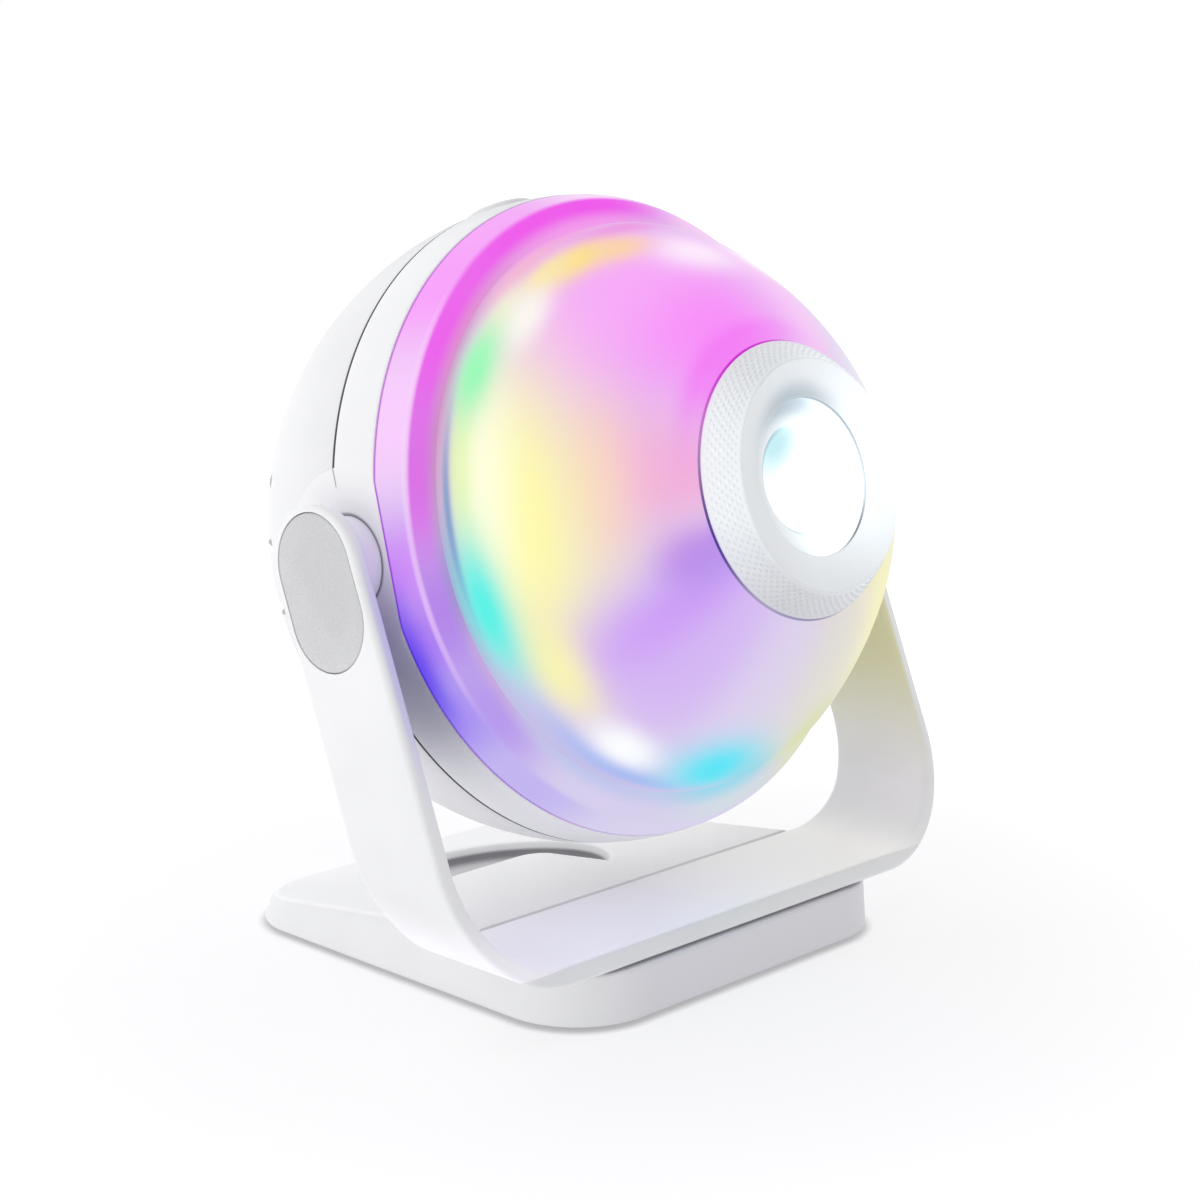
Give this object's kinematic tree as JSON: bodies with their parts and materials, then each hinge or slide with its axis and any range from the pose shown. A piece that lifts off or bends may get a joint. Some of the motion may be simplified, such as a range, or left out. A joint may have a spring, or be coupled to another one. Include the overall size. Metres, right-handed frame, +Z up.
{
  "type": "star projector lamp",
  "caption": "Tabletop star projector lamp: a round head with a light ring, a domed diffuser and a focusing lens, held by a U-shaped yoke on a wedge-shaped base.",
  "frame": {"origin": "centre of the foot pad's underside, on the table", "axes": "+Z up; the lens looks towards -Y; +X to the right of a viewer who faces the lens"},
  "size_m": [0.1692, 0.1535, 0.1791],
  "materials": {
    "white_housing": "satin",
    "white_yoke": "satin",
    "grey_cap": "matte, fine grain",
    "grey_plastic": "matte",
    "rubber_foot": "matte",
    "steel": "plated",
    "ivory_plastic": "smooth",
    "natural_plastic": "matte",
    "white_board": "satin solder mask",
    "green_board": "satin solder mask",
    "led": "gloss, lit",
    "ring_diffuser": "satin, lit from inside",
    "dome_diffuser": "gloss, lit from inside",
    "aluminium": "extruded",
    "black_plastic": "matte",
    "glass": "polished",
    "lens_glass": "polished, lit from behind",
    "star_film": "gloss film",
    "focus_ring": "satin, knurled rim"
  },
  "bodies": {
    "stand": {"base_shell": "white_housing", "base_cover": "grey_plastic", "foot_pad": "rubber_foot", "ballast": "steel", "cover_screws": "steel", "yoke": "white_yoke", "bar_screws": "steel", "cap_left": "grey_cap", "cap_right": "grey_cap", "bush_left": "ivory_plastic", "bush_right": "ivory_plastic", "spring_washers": "steel"},
    "head": {"rear_housing": "white_housing", "front_band": "white_housing", "hub_left": "white_housing", "hub_right": "white_housing", "hub_nuts": "steel", "pivot_screws": "steel", "housing_screws": "steel", "inner_frame": "natural_plastic", "small_screws": "steel", "led_board": "white_board", "ring_leds": "led", "dome_leds": "led", "ring_diffuser": "ring_diffuser", "dome_diffuser": "dome_diffuser", "heat_sink": "aluminium", "projector_led": "led", "condenser_tube": "black_plastic", "condenser_lens": "glass", "barrel": "black_plastic", "wheel_motor": "steel", "main_board": "green_board", "board_parts": "black_plastic", "inlet_board": "green_board", "usb_inlet": "steel", "button_board": "green_board", "tact_switch": "black_plastic"},
    "wheel": {"motor_shaft": "steel", "wheel_hub": "ivory_plastic", "star_disc": "star_film"},
    "focus": {"focus_ring": "focus_ring"},
    "carrier": {"lens_carrier": "black_plastic", "objective_lens": "lens_glass", "lens_retainer": "black_plastic", "drive_pin": "steel"},
    "button": {"power_button": "white_housing"}
  },
  "joints": [
    {"name": "head_pitch", "type": "hinge", "parent": "stand", "child": "head", "pos_m": [0, -0.00917, 0.10257], "axis": [-1, 0, 0], "range_deg": [-59.7, 75.3]},
    {"name": "wheel_spin", "type": "hinge", "parent": "head", "child": "wheel", "pos_m": [0, -0.04234, 0.08646], "axis": [0, -0.9673, 0.2538], "continuous": true},
    {"name": "focus_turn", "type": "hinge", "parent": "head", "child": "focus", "pos_m": [0, -0.07494, 0.11983], "axis": [0, -0.9673, 0.2538], "range_deg": [-30, 30]},
    {"name": "focus_slide", "type": "slide", "parent": "head", "child": "carrier", "axis": [0, -0.9673, 0.2538], "range_m": [-0.0015, 0.0015]},
    {"name": "button_press", "type": "slide", "parent": "head", "child": "button", "axis": [0, 0.4019, 0.9157], "range_m": [-0.0005, 0], "stiffness_N_per_m": 1500, "springref_m": 0.0004}
  ],
  "couplings": [
    {"joint": "focus_slide", "follows": "focus_turn", "m_per_rad": -0.0028647}
  ]
}
